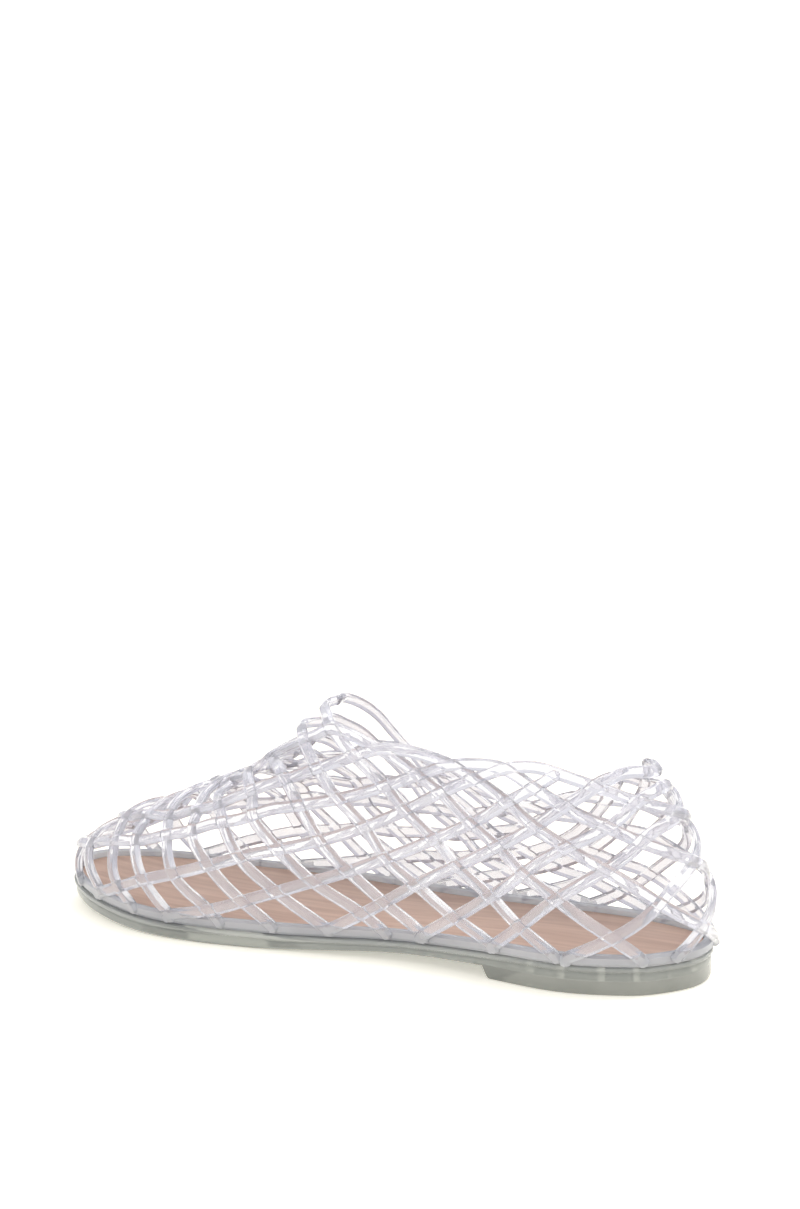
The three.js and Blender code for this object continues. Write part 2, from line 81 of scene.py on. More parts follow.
# along is a share of LENGTH; inner and outer are half widths as shares of BALL_WIDTH.
OUTLINE = {
    "along": [0, 0.016, 0.056, 0.152, 0.28, 0.42, 0.58, 0.7, 0.8, 0.896, 0.96, 0.992, 1],
    "inner": [0, 0.159, 0.296, 0.391, 0.358, 0.334, 0.436, 0.501, 0.49, 0.384, 0.248, 0.118, 0],
    "outer": [0, 0.184, 0.297, 0.361, 0.379, 0.423, 0.494, 0.499, 0.453, 0.36, 0.232, 0.108, 0],
}
OUTLINE_ROWS = len(OUTLINE["along"]) - 1


def cubic(places, values, at):
    """A smooth curve through values at uneven places, with mean slopes at the rows."""
    places = np.asarray(places, float)
    values = np.asarray(values, float)
    at = np.clip(at, places[0], places[-1])
    row = np.clip(np.searchsorted(places, at, side="left") - 1, 0, len(places) - 2)
    before = np.maximum(np.arange(len(places)) - 1, 0)
    after = np.minimum(np.arange(len(places)) + 1, len(places) - 1)
    slopes = (values[after] - values[before]) / (places[after] - places[before])
    span = places[row + 1] - places[row]
    s = (at - places[row]) / span
    a = 2 * s**3 - 3 * s**2 + 1
    b = s**3 - 2 * s**2 + s
    c = s**3 - s**2
    ends = a * values[row] + (1 - a) * values[row + 1]
    return ends + span * (b * slopes[row] + c * slopes[row + 1])


def outline_value(column, around):
    """A column of the outline. It is mirrored past its ends, so heel and toe come out round."""
    values = OUTLINE[column]
    sign = 1 if column == "along" else -1
    places = np.arange(-1, OUTLINE_ROWS + 2) / OUTLINE_ROWS
    return cubic(places, [sign * values[1], *values, sign * values[-2]], around)


def outline_point(around, side, inset):
    """Points of the outline, inset from its edge. side is -1 on the inner side of the foot."""
    around, side = np.broadcast_arrays(np.asarray(around, float), np.asarray(side, float))

    def at(place):
        width = np.where(side < 0, outline_value("inner", place), outline_value("outer", place))
        return np.stack([side * width * BALL_WIDTH, outline_value("along", place) * LENGTH], -1)

    small = 1e-4
    along = at(np.minimum(around + small, 1)) - at(np.maximum(around - small, 0))
    outward = np.stack([along[..., 1], -along[..., 0]], -1) * side[..., None]
    outward /= np.linalg.norm(outward, axis=-1, keepdims=True)
    outward[around <= 0] = (0, -1)
    outward[around >= 1] = (0, 1)
    return at(around) - outward * np.expand_dims(inset, -1)


def share(value, start, end):
    return np.clip((value - start) / (end - start), 0, 1)


def ease(s):
    return s * s * (3 - 2 * s)


def spring_height(y):
    return TOE_SPRING * share(y, TREAD_END * LENGTH, LENGTH) ** 2


def underside_height(y):
    s = share(y, ARCH_START * LENGTH, TREAD_START * LENGTH)
    return HEEL_RISE * (1 - s) ** ARCH_POWER * (1 + ARCH_POWER * s) + spring_height(y)


def sole_top_height(y):
    slope = ease(share(y, SEAT_START * LENGTH, SEAT_END * LENGTH))
    return SOLE_THICKNESS + HEEL_RISE * (1 - slope) + spring_height(y)


cad_inner_edge = outline_point(np.linspace(0, 1, CAD_STEPS + 1), -1, 0)[:, 0].min()
HEEL_BACK = np.array([SOLE_LOW[0] - cad_inner_edge * MM, SOLE_LOW[1], 0])


def closed_outline(steps, inset):
    """Once round the edge, from the heel's back up the inner side and down the outer side."""
    around = np.linspace(0, 1, steps + 1)
    inner = outline_point(around, -1, inset)
    outer = outline_point(around[::-1], 1, inset)
    return np.concatenate([inner[:-1], outer[:-1]])


def loft(name, rings, loops=False):
    """A closed object from rings of points. Rings that don't loop are filled at both ends."""
    rings = np.asarray(rings)
    levels, count = rings.shape[:2]
    faces = []
    for level in range(levels if loops else levels - 1):
        low = level * count
        high = (level + 1) % levels * count
        for k in range(count):
            right = (k + 1) % count
            faces.append((low + k, low + right, high + right, high + k))
    if not loops:
        for first in (0, (levels - 1) * count):
            for k in range(1, count // 2 + 1):
                corners = (k - 1, k, (count - k) % count, (count - k + 1) % count)
                faces.append([first + corner for corner in dict.fromkeys(corners)])
    mesh = bpy.data.meshes.new(name)
    mesh.from_pydata((rings.reshape(-1, 3) * MM + HEEL_BACK).tolist(), [], faces)
    shape = bmesh.new()
    shape.from_mesh(mesh)
    bmesh.ops.remove_doubles(shape, verts=shape.verts, dist=1e-7)
    bmesh.ops.recalc_face_normals(shape, faces=shape.faces)
    shape.to_mesh(mesh)
    shape.free()
    piece = bpy.data.objects.new(name, mesh)
    bpy.context.scene.collection.objects.link(piece)
    return piece


def combine(piece, others, operation):
    """Joins solids to the piece or cuts them from it, as real geometry, and removes them."""
    group = bpy.data.collections.new("operands")
    bpy.context.scene.collection.children.link(group)
    for other in others:
        group.objects.link(other)
        bpy.context.scene.collection.objects.unlink(other)
    step = piece.modifiers.new("combine", "BOOLEAN")
    step.operation = operation
    step.solver = "MANIFOLD"
    step.operand_type = "COLLECTION"
    step.collection = group
    combined = piece.evaluated_get(bpy.context.evaluated_depsgraph_get())
    mesh = bpy.data.meshes.new_from_object(combined)
    piece.modifiers.clear()
    piece.data = mesh
    for other in others:
        bpy.data.objects.remove(other)
    bpy.data.collections.remove(group)


def shade(piece, sharp_degrees, material):
    """Smooth shading with creases kept where faces meet at more than the angle."""
    piece.data.shade_smooth()
    piece.data.set_sharp_from_angle(angle=math.radians(sharp_degrees))
    piece.data.materials.clear()
    piece.data.materials.append(material)


def stacked(name, levels, steps):
    """A slab from closed outlines, each inset from the edge and following a height."""
    rings = []
    for inset, height in levels:
        edge = closed_outline(steps, inset)
        rings.append(np.column_stack([edge, height(edge[:, 1])]))
    return loft(name, rings)


def sole_level(inset, above_underside=None, below_top=None):
    if below_top is None:
        return inset, lambda y: underside_height(y) + above_underside
    return inset, lambda y: sole_top_height(y) - below_top


sole = stacked(
    "shoe_sole",
    [
        sole_level(2.6, above_underside=0.0),
        sole_level(1.6, above_underside=0.15),
        sole_level(0.95, above_underside=0.55),
        sole_level(0.7, above_underside=1.1),
        sole_level(0.6, below_top=2.5),
        sole_level(0.75, below_top=2.2),
        sole_level(0.7, below_top=1.9),
        sole_level(0.2, below_top=1.65),
        sole_level(0.02, below_top=1.35),
        sole_level(0.0, below_top=0.8),
        sole_level(0.1, below_top=0.4),
        sole_level(0.45, below_top=0.1),
        sole_level(1.0, below_top=0.0),
    ],
    SOLE_STEPS,
)


def heel_outline(length):
    """The heel in plan: the sole's edge, closed by a hollowed front with round corners."""
    places = np.linspace(0, 1, SEARCH_STEPS)
    reached = outline_value("along", places) * LENGTH
    end = places[np.searchsorted(reached, length - BREAST_CORNER)]
    inner = outline_point(np.linspace(0, end, HEEL_SIDE_STEPS), -1, EDGE_STEP)
    outer = outline_point(np.linspace(0, end, HEEL_SIDE_STEPS), 1, EDGE_STEP)
    width = outer[-1, 0] - inner[-1, 0]
    turn = np.linspace(0, np.pi / 2, CORNER_STEPS)[1:]
    near = BREAST_CORNER * (1 - np.cos(turn))
    middle = np.linspace(BREAST_CORNER, width - BREAST_CORNER, BREAST_STEPS)[1:-1]
    across = np.concatenate([near, middle, (width - near)[::-1]])
    hollow = BREAST_HOLLOW * np.sin(np.pi * across / width)
    beside = np.maximum(1 - np.minimum(across, width - across) / BREAST_CORNER, 0)
    corner = BREAST_CORNER * (1 - np.sqrt(1 - beside**2))
    front = np.column_stack([inner[-1, 0] + across, length - hollow - corner])
    return np.concatenate([inner, front, outer[:0:-1]])


def shrunk(edge, inset):
    """A closed line moved inwards by the inset, square to itself."""
    along = np.roll(edge, -1, axis=0) - np.roll(edge, 1, axis=0)
    inward = np.column_stack([along[:, 1], -along[:, 0]])
    inward /= np.linalg.norm(inward, axis=1, keepdims=True)
    return edge + inward * inset


# The heel's wall from the floor up, as (inset, height) pairs.
HEEL_LEVELS = [
    (1.8, 0.0),
    (1.1, 0.1),
    (0.6, 0.35),
    (0.35, 0.9),
    (0.25, 2.0),
    (0.2, 4.8),
    (0.15, 6.0),
]
heel_top = HEEL_LEVELS[-1][1]
heel_rings = []
for inset, height in HEEL_LEVELS:
    heel_edge = shrunk(heel_outline(HEEL_LENGTH - BREAST_RAKE * (1 - height / heel_top)), inset)
    heel_rings.append(np.column_stack([heel_edge, np.full(len(heel_edge), height)]))
combine(sole, [loft("heel", heel_rings)], "UNION")


# A pocket is pinched in at its ends by this much, at these shares of its length.
POCKET_SHARES = (0, 0.06, 0.2, 0.5, 0.8, 0.94, 1)
POCKET_PINCH = 0.8
PINCH_POWER = 6


def pocket(start, end, side):
    """A pocket cored into the heel from above, with its corners rounded."""
    rings = []
    for s in POCKET_SHARES:
        around = start + (end - start) * s
        pinch = POCKET_PINCH * abs(2 * s - 1) ** PINCH_POWER
        outer = outline_point(around, side, EDGE_STEP + POCKET_WALL + pinch)
        inner = outline_point(around, side, EDGE_STEP + POCKET_WALL + POCKET_WIDTH - pinch)
        top = sole_top_height(outer[1]) + 1
        corners = [(outer, POCKET_FLOOR), (outer, top), (inner, top), (inner, POCKET_FLOOR)]
        rings.append([(*point, height) for point, height in corners])
    return loft("pocket", rings)


# Each pocket lies between two places along the outline, with a rib before the next.
POCKETS = [
    (0.02, 0.074),
    (0.083, 0.146),
    (0.157, 0.195),
    (0.204, 0.239),
    (0.247, 0.273),
    (0.28, 0.305),
]
pockets = [pocket(start, end, side) for side in (-1, 1) for start, end in POCKETS]
combine(sole, pockets, "DIFFERENCE")


def finish_material(name, colours, grain, roughness, bumps, **sockets):
    """A procedural finish: noise of the given grain (per metre along X, Y and Z) moves the colour
    between two others and the roughness between two values. Each bump is (noise size per metre,
    height in metres, strength)."""
    material = bpy.data.materials.new(name)
    material.use_nodes = True
    nodes = material.node_tree.nodes
    links = material.node_tree.links
    shader = nodes["Principled BSDF"]
    for socket, value in sockets.items():
        shader.inputs[socket.replace("_", " ")].default_value = value
    place = nodes.new("ShaderNodeTexCoord")

    def noise(scale, detail):
        stretch = nodes.new("ShaderNodeMapping")
        stretch.inputs["Scale"].default_value = scale
        links.new(place.outputs["Object"], stretch.inputs["Vector"])
        texture = nodes.new("ShaderNodeTexNoise")
        texture.inputs["Scale"].default_value = 1
        texture.inputs["Detail"].default_value = detail
        links.new(stretch.outputs["Vector"], texture.inputs["Vector"])
        return texture.outputs["Fac"]

    shades = noise(grain, 4)
    ramp = nodes.new("ShaderNodeValToRGB")
    for stop, position, colour in zip(ramp.color_ramp.elements, (0.35, 0.65), colours):
        stop.position = position
        stop.color = (*colour, 1)
    links.new(shades, ramp.inputs["Fac"])
    links.new(ramp.outputs["Color"], shader.inputs["Base Color"])
    spread = nodes.new("ShaderNodeMapRange")
    spread.inputs["To Min"].default_value, spread.inputs["To Max"].default_value = roughness
    links.new(noise([2 * size for size in grain], 2), spread.inputs["Value"])
    links.new(spread.outputs["Result"], shader.inputs["Roughness"])
    normal = None
    for size, height, strength in bumps:
        bump = nodes.new("ShaderNodeBump")
        bump.inputs["Strength"].default_value = strength
        bump.inputs["Distance"].default_value = height
        links.new(noise(size, 3), bump.inputs["Height"])
        if normal is not None:
            links.new(normal, bump.inputs["Normal"])
        normal = bump.outputs["Normal"]
    links.new(normal, shader.inputs["Normal"])
    return material


def finish_faces(piece, material, chosen):
    """Another finish on the faces that a test picks by height, place along and upward normal."""
    piece.data.materials.append(material)
    for face in piece.data.polygons:
        middle = (np.array(face.center) - HEEL_BACK) / MM
        if chosen(middle[2], middle[1], face.normal.z):
            face.material_index = len(piece.data.materials) - 1


# The plastic is paler in the thin lip. In the heel below the pockets' floor it is painted darker, as
# painted shade where the floor shuts off the light, and where it meets the floor it is rubbed dull and
# painted dark, as painted shade at the contact.
PLASTIC_IOR = 1.45
SOLE_GRAIN = (60, 25, 90)
SOLE_BUMPS = [((160, 160, 160), 0.0004, 0.2), ((2400, 2400, 2400), 0.00005, 0.1)]
HEEL_SHADE_END = 70.0
TREAD_FINISH_TOP = 0.35
TREAD_FACING = -0.7
sole_plastic = finish_material(
    "sole_plastic",
    [(0.43, 0.45, 0.43), (0.51, 0.53, 0.5)],
    SOLE_GRAIN,
    (0.1, 0.25),
    SOLE_BUMPS,
    Transmission_Weight=0.5,
    IOR=PLASTIC_IOR,
)
# Rubbed dull, and painted dark as shade where the sole meets the floor.
tread_dull_and_shade = finish_material(
    "tread_dull_and_shade",
    [(0.24, 0.25, 0.23), (0.32, 0.33, 0.31)],
    (90, 90, 90),
    (0.5, 0.75),
    [((1400, 1400, 1400), 0.0002, 0.5)],
)
lip_plastic = finish_material(
    "lip_plastic",
    [(0.56, 0.58, 0.57), (0.66, 0.68, 0.67)],
    SOLE_GRAIN,
    (0.08, 0.2),
    SOLE_BUMPS,
    Transmission_Weight=0.6,
    IOR=PLASTIC_IOR,
)
# Painted shade: the solid lower heel is painted darker for the shade where the floor shuts off the
# light.
heel_painted_shade = finish_material(
    "heel_painted_shade",
    [(0.28, 0.29, 0.27), (0.35, 0.36, 0.34)],
    SOLE_GRAIN,
    (0.1, 0.25),
    SOLE_BUMPS,
    Transmission_Weight=0.35,
    IOR=PLASTIC_IOR,
)
shade(sole, 35, sole_plastic)
finish_faces(
    sole,
    lip_plastic,
    lambda height, along, up: sole_top_height(along) - height < LIP_HEIGHT,
)
# Painted shade on the heel's faces below the pockets' floor.
finish_faces(
    sole,
    heel_painted_shade,
    lambda height, along, up: height < POCKET_FLOOR and along < HEEL_SHADE_END,
)
# Rubbed dull and painted dark underneath, as painted shade at the floor.
finish_faces(
    sole,
    tread_dull_and_shade,
    lambda height, along, up: height < TREAD_FINISH_TOP and up < TREAD_FACING,
)
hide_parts("sole")
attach(sole, "root")


# The insole: a thin tan sheet that lies loose in the rim. Its face is a smooth grained coat,
# and its edge is painted a darker orange brown, as painted shade in the gap against the rim band.
BAND_WIDTH = 2.8
INSOLE_THICKNESS = 1.6
INSOLE_INSET = BAND_WIDTH + CLEARANCE
EDGE_FACING = 0.93


def insole_level(extra_inset, rise):
    return INSOLE_INSET + extra_inset, lambda y: sole_top_height(y) + CLEARANCE + rise


insole = stacked(
    "shoe_insole",
    [
        insole_level(0.3, 0.0),
        insole_level(0.0, 0.25),
        insole_level(0.0, INSOLE_THICKNESS - 0.45),
        insole_level(0.12, INSOLE_THICKNESS - 0.15),
        insole_level(0.45, INSOLE_THICKNESS),
    ],
    SOLE_STEPS,
)
tan_sheet = finish_material(
    "tan_sheet",
    [(0.49, 0.325, 0.25), (0.61, 0.43, 0.34)],
    (420, 22, 420),
    (0.42, 0.6),
    [((900, 60, 900), 0.00012, 0.4), ((3000, 3000, 3000), 0.00005, 0.3)],
)
shade(insole, 50, tan_sheet)
# Painted shade: the insole's edge is painted darker for the shade in the gap against the rim band.
insole_edge_shade = finish_material(
    "insole_edge_shade",
    [(0.3, 0.12, 0.06), (0.42, 0.19, 0.1)],
    (300, 300, 900),
    (0.5, 0.7),
    [((1800, 1800, 1800), 0.0001, 0.4)],
)
# Painted shade on the insole's side faces.
finish_faces(insole, insole_edge_shade, lambda height, along, up: up < EDGE_FACING)
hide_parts("insole")
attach(insole, "root")


# The upper: one moulding in clear soft plastic, made to look woven. Strands run over and under
# each other from a rim band on the sole up to the crest of the foot, and the ones that turn
# back over the ankle make the scalloped collar and the two loops of the throat.
THROAT_HEIGHT = 81.0
BAND_HEIGHT = 3.6
FOOT_SHARE = 0.75
STRAND_WIDTH = 4.2
STRAND_THICKNESS = 2.4
WEAVE_DEPTH = 0.65
TRACE_STEPS = 160
RING_STEP = 1.3
STRAND_REACH = 12
BAND_RECESS = 0.6
BAND_LIFT = 0.06

# Each section rises from the outline at `around` to a crest on the centre line. crest is a share
# of LENGTH and height of THROAT_HEIGHT; inset, a share of STRAND_THICKNESS, is how far the foot
# stands in from the edge; swell and lean shape the wall between. drop is how far the outer side
# sags, and peak how far the throat's crest stands up, both as shares of THROAT_HEIGHT.
SECTIONS = {
    "around": [0, 0.1, 0.22, 0.36, 0.5, 0.55, 0.62, 0.75, 0.88, 1],
    "crest": [0.16, 0.198, 0.224, 0.312, 0.488, 0.555, 0.612, 0.748, 0.888, 0.955],
    "height": [1.01, 1.05, 1.12, 1.21, 1.09, 0.92, 0.73, 0.55, 0.35, 0.27],
    "inset": [-0.4, -0.4, -0.4, -0.25, 0.25, 0.25, 0.25, 0.25, 0.12, 0],
    "swell": [0.03, 0, 0, 0.04, 0.06, 0.06, 0.06, 0.06, 0.04, 0.03],
    "lean": [1.03, 1.35, 1.27, 1.08, 1.05, 1.05, 1.06, 1.06, 1.02, 1],
    "drop": [0, 0.01, 0.1, 0.29, 0.17, 0.1, 0.03, 0, 0, 0],
    "peak": [0, 0, 0, 0, 0.06, 0.062, 0.035, 0, 0, 0],
}

# Strands over the foot from side to side: the `around` reached at each of the heights.
HOOP_HEIGHTS = [0, 0.15, 0.3, 0.45, 0.7, 1]
HOOPS = [
    [0.245, 0.328, 0.395, 0.442, 0.5, 0.55],
    [0.31, 0.402, 0.443, 0.478, 0.524, 0.58],
    [0.383, 0.445, 0.478, 0.507, 0.56, 0.612],
    [0.418, 0.478, 0.52, 0.54, 0.59, 0.632],
    [0.46, 0.518, 0.552, 0.578, 0.63, 0.665],
    [0.503, 0.555, 0.59, 0.612, 0.662, 0.697],
    [0.555, 0.602, 0.63, 0.655, 0.7, 0.73],
    [0.615, 0.657, 0.68, 0.7, 0.737, 0.765],
    [0.673, 0.705, 0.725, 0.742, 0.775, 0.8],
    [0.738, 0.765, 0.782, 0.797, 0.82, 0.84],
    [0.805, 0.827, 0.842, 0.857, 0.877, 0.892],
]

# Strands up from the toe or the side, over the collar, and down and back round the heel, as
# (around, height) pairs; around is negative on the outer side. A mirrored strand goes on as its
# own mirror image at its start or end, and any other is made once for each side.
COLLAR_STRANDS = [
    ("start", [(0.75, 1), (0.71, 0.84), (0.62, 0.71), (0.55, 0.64), (0.503, 0.605), (0.478, 0.607),
               (0.435, 0.505), (0.333, 0.3), (0.238, 0.14), (0.145, 0)]),
    ("start", [(0.87, 1), (0.835, 0.7), (0.75, 0.53), (0.69, 0.51), (0.6, 0.485), (0.51, 0.43),
               (0.435, 0.5), (0.4, 0.485), (0.33, 0.42), (0.228, 0.29), (0.098, 0.15), (-0.068, 0)]),
    ("start", [(1, 0.5), (0.9, 0.36), (0.8, 0.32), (0.68, 0.35), (0.6, 0.37), (0.53, 0.335),
               (0.455, 0.35), (0.367, 0.445), (0.34, 0.462), (0.297, 0.47), (0.182, 0.37),
               (0, 0.265), (-0.12, 0.13), (-0.23, 0)]),
    ("none", [(0.738, 0), (0.655, 0.14), (0.56, 0.195), (0.497, 0.21), (0.432, 0.27),
              (0.297, 0.475), (0.25, 0.512), (0.18, 0.49), (0, 0.43), (-0.188, 0.235), (-0.31, 0)]),
    ("none", [(0.613, 0), (0.532, 0.06), (0.445, 0.15), (0.333, 0.3), (0.26, 0.45), (0.228, 0.51)]),
    ("end", [(0.458, 0), (0.39, 0.12), (0.305, 0.25), (0.18, 0.485), (0.12, 0.54), (0.06, 0.587),
             (0, 0.605)]),
    ("end", [(0.383, 0), (0.312, 0.12), (0.228, 0.29), (0.077, 0.47), (0, 0.54)]),
]


# The outer side's drop ends smoothly at the crest, and the throat's peak is a narrow hump with
# a hollow to each side.
CREST_BLEND = 16
PEAK_SHARE = 2.5
PEAK_POWER = 18
SHOULDER_POWER = 6


def section_value(column, around):
    """A column of the sections, mirrored past the heel's centre and the toe's tip."""
    places = SECTIONS["around"]
    values = SECTIONS[column]
    mirrored = [-places[1], *places, 2 - places[-2]]
    return cubic(mirrored, [values[1], *values, values[-2]], around)


def last_point(around, up):
    """Points of the upper's middle surface. up is 0 at the foot line and 1 at the crest."""
    around, up = np.broadcast_arrays(np.asarray(around, float), np.asarray(up, float))
    side = np.where(around < 0, 1.0, -1.0)
    place = np.abs(around)
    foot = outline_point(place, side, section_value("inset", place) * STRAND_THICKNESS)
    base = sole_top_height(foot[..., 1]) + CLEARANCE + BAND_HEIGHT * FOOT_SHARE
    angle = up * np.pi / 2
    rise = np.sin(angle)
    bulge = section_value("swell", place) * np.sin(2 * angle)
    inward = 1 - np.maximum(np.cos(angle), 0) ** section_value("lean", place) - bulge
    outer_drop = np.where(side > 0, section_value("drop", place), 0) * THROAT_HEIGHT
    drop = outer_drop * np.sin(2 * angle) * (1 - rise**CREST_BLEND)
    crest_y = section_value("crest", place) * LENGTH
    crest_z = section_value("height", place) * THROAT_HEIGHT
    hump = PEAK_SHARE * rise**PEAK_POWER - (PEAK_SHARE - 1) * rise**SHOULDER_POWER
    peak = section_value("peak", place) * THROAT_HEIGHT * hump
    x = foot[..., 0] * (1 - inward)
    y = foot[..., 1] + (crest_y - foot[..., 1]) * inward
    return np.stack([x, y, base + (crest_z - base) * rise + peak - drop], -1)


def unit(vectors):
    return vectors / np.linalg.norm(vectors, axis=-1, keepdims=True)


def last_normal(around, up):
    """Directions square out of the middle surface."""
    small = 1e-3
    around, up = np.broadcast_arrays(np.asarray(around, float), np.asarray(up, float))
    around_step = np.where(np.abs(around) > 1 - small, -small, small)
    up_step = np.where(up > 1 - small, -small, small)
    here = last_point(around, up)
    onward = (last_point(around + around_step, up) - here) * np.sign(around_step)[..., None]
    upward = (last_point(around, up + up_step) - here) * np.sign(up_step)[..., None]
    normal = -np.cross(onward, upward)
    angle = up * np.pi / 2
    ahead = np.stack([np.zeros_like(up), np.cos(angle), np.sin(angle)], -1)
    return unit(np.where((np.abs(around) > 1 - small)[..., None], ahead, normal))


def past_mirror(edge, inside):
    """The reflection of a route's point in the crest, or in the heel's centre or toe's tip."""
    if edge[1] == 1:
        return [inside[0], 2 - inside[1]]
    return [2 * edge[0] - inside[0], inside[1]]


def trace_leg(route, mirrored):
    """A route traced finely in the surface's own coordinates, and smooth where it is mirrored."""
    rows = [list(point) for point in route]
    route = np.array(rows)
    steps = np.linalg.norm(np.diff(last_point(route[:, 0], route[:, 1]), axis=0), axis=1)
    places = [0, *np.cumsum(steps)]
    at = np.linspace(0, places[-1], TRACE_STEPS + 1)
    if mirrored == "start":
        rows.insert(0, past_mirror(rows[0], rows[1]))
        places.insert(0, -steps[0])
    if mirrored == "end":
        rows.append(past_mirror(rows[-1], rows[-2]))
        places.append(places[-1] + steps[-1])
    around, up = np.transpose(rows)
    return np.column_stack([cubic(places, around, at), np.clip(cubic(places, up, at), 0, 1)])


class Strand:
    """One strand's trace: the surface coordinates, the leg, and the length reached so far."""

    def __init__(self, legs):
        self.trace = np.concatenate([leg[1:] if i else leg for i, leg in enumerate(legs)])
        self.leg = np.concatenate(
            [np.full(len(leg) - (i > 0), i) for i, leg in enumerate(legs)]
        )
        self.centre = last_point(self.trace[:, 0], self.trace[:, 1])
        steps = np.linalg.norm(np.diff(self.centre, axis=0), axis=1)
        self.length = np.concatenate([[0], np.cumsum(steps)])
        self.marks = []


# Hoops ahead of the second place cross the crest squarely: they bend forward from SQUARE_FROM
# of the way in. Hoops behind the first place don't, and the bend fades in between the two.
MIRROR = np.array([-1.0, 1.0])
TOE_HOOPS = (0.6, 0.7)
SQUARE_FROM = 0.6


def squared(leg):
    """A hoop over the toes, brought forward near the crest so that it crosses it squarely."""
    around, up = leg.T
    small = 0.01
    slope = section_value("crest", around + small) - section_value("crest", around - small)
    lag = outline_value("along", around) - section_value("crest", around)
    inward = np.maximum(1 - np.cos(up * np.pi / 2) - SQUARE_FROM, 0)
    bend = inward**2 / (2 * (1 - SQUARE_FROM)) * ease(share(around, *TOE_HOOPS))
    return np.column_stack([around + lag * 2 * small / slope * bend, up])


strands = []
for hoop in HOOPS:
    leg = squared(trace_leg(list(zip(hoop, HOOP_HEIGHTS)), "end"))
    strands.append(Strand([leg, (leg * MIRROR)[::-1]]))
for mirrored, route in COLLAR_STRANDS:
    leg = trace_leg(route, mirrored)
    if mirrored == "start":
        strands.append(Strand([(leg * MIRROR)[::-1], leg]))
    if mirrored == "end":
        strands.append(Strand([leg, (leg * MIRROR)[::-1]]))
    if mirrored == "none":
        strands.append(Strand([leg]))
        strands.append(Strand([leg * MIRROR]))


def crossings(first, second):
    """The lengths along both strands at which their traces cross, within STRAND_REACH in space."""
    a, b = first.trace[:-1], first.trace[1:]
    c, d = second.trace[:-1], second.trace[1:]
    ab = (b - a)[:, None]
    cd = (d - c)[None]
    ac = c[None] - a[:, None]
    across = ab[..., 0] * cd[..., 1] - ab[..., 1] * cd[..., 0]
    across = np.where(across == 0, np.inf, across)
    s = (ac[..., 0] * cd[..., 1] - ac[..., 1] * cd[..., 0]) / across
    r = (ac[..., 0] * ab[..., 1] - ac[..., 1] * ab[..., 0]) / across
    apart = np.linalg.norm(second.centre[None, :-1] - first.centre[:-1, None], axis=-1)
    near = apart < STRAND_REACH
    hit = near & (s >= 0) & (s < 1) & (r >= 0) & (r < 1) & np.isfinite(across)
    hit &= (first.leg[:-1] == first.leg[1:])[:, None] & (second.leg[:-1] == second.leg[1:])[None]
    if first is second:
        hit &= second.leg[None, 1:] > first.leg[1:, None]
    i, j = np.nonzero(hit)
    along = first.length[i] + s[i, j] * (first.length[i + 1] - first.length[i])
    other = second.length[j] + r[i, j] * (second.length[j + 1] - second.length[j])
    return zip(along, other)


# Every crossing goes over on one strand and under on the other, turn about along each.
for i, first in enumerate(strands):
    for second in strands[i:]:
        for along, across in crossings(first, second):
            mark = {"at": along, "level": 0}
            partner = {"at": across, "level": 0, "partner": mark}
            mark["partner"] = partner
            first.marks.append(mark)
            second.marks.append(partner)
for strand in strands:
    strand.marks.sort(key=lambda mark: mark["at"])
    for k, mark in enumerate(strand.marks):
        mark["beside"] = strand.marks[max(k - 1, 0) : k] + strand.marks[k + 1 : k + 2]
for strand in strands:
    for start in strand.marks:
        if start["level"]:
            continue
        start["level"] = 1
        waiting = [start]
        while waiting:
            mark = waiting.pop(0)
            for other in [mark["partner"], *mark["beside"]]:
                if not other["level"]:
                    other["level"] = -mark["level"]
                    waiting.append(other)


def weave_offset(strand, lengths):
    """How far the strand rides out of the surface, in smooth waves from crossing to crossing."""
    at = np.array([0.0, *[mark["at"] for mark in strand.marks], strand.length[-1]])
    level = np.array([0.0, *[mark["level"] for mark in strand.marks], 0.0])
    k = np.clip(np.searchsorted(at, lengths) - 1, 0, len(at) - 2)
    s = ease(share(lengths, at[k], np.maximum(at[k + 1], at[k] + 1e-6)))
    return WEAVE_DEPTH * (level[k] * (1 - s) + level[k + 1] * s)


# A strand's foot goes on in short steps, each bent down a little, and stops above the sole.
FOOT_LIFT = 0.9
FOOT_STEP = 0.9
FOOT_STEPS = 8
FOOT_BEND = np.array([0, 0, -0.35])


def foot_run(end, before, normal):
    """The strand's foot, bent down over the rim band as far as the sole."""
    heading = unit(end - before)
    low = sole_top_height(end[1]) + FOOT_LIFT
    points = []
    point = end
    for _ in range(FOOT_STEPS):
        if point[2] < low:
            break
        heading = unit(heading + FOOT_BEND)
        heading = unit(heading - normal * np.dot(heading, normal))
        point = point + heading * FOOT_STEP
        points.append(point)
    return points


# A strand's section: a flat face outside, long bevels to its full width, and a rounded back.
# across is a share of half its width, and out is one of half its thickness.
STRAND_SECTION = {
    "across": [0.4, -0.4, -0.52, -0.93, -1, -0.9, -0.65, 0.65, 0.9, 1, 0.93, 0.52],
    "out": [1, 1, 0.95, 0.22, -0.2, -0.8, -1, -1, -0.8, -0.2, 0.22, 0.95],
}
RING_ACROSS = np.array(STRAND_SECTION["across"])
RING_OUT = np.array(STRAND_SECTION["out"])
TIP_SIZE = 0.55
FOOT_UP = 0.01
SEAM_LEAP = 0.5


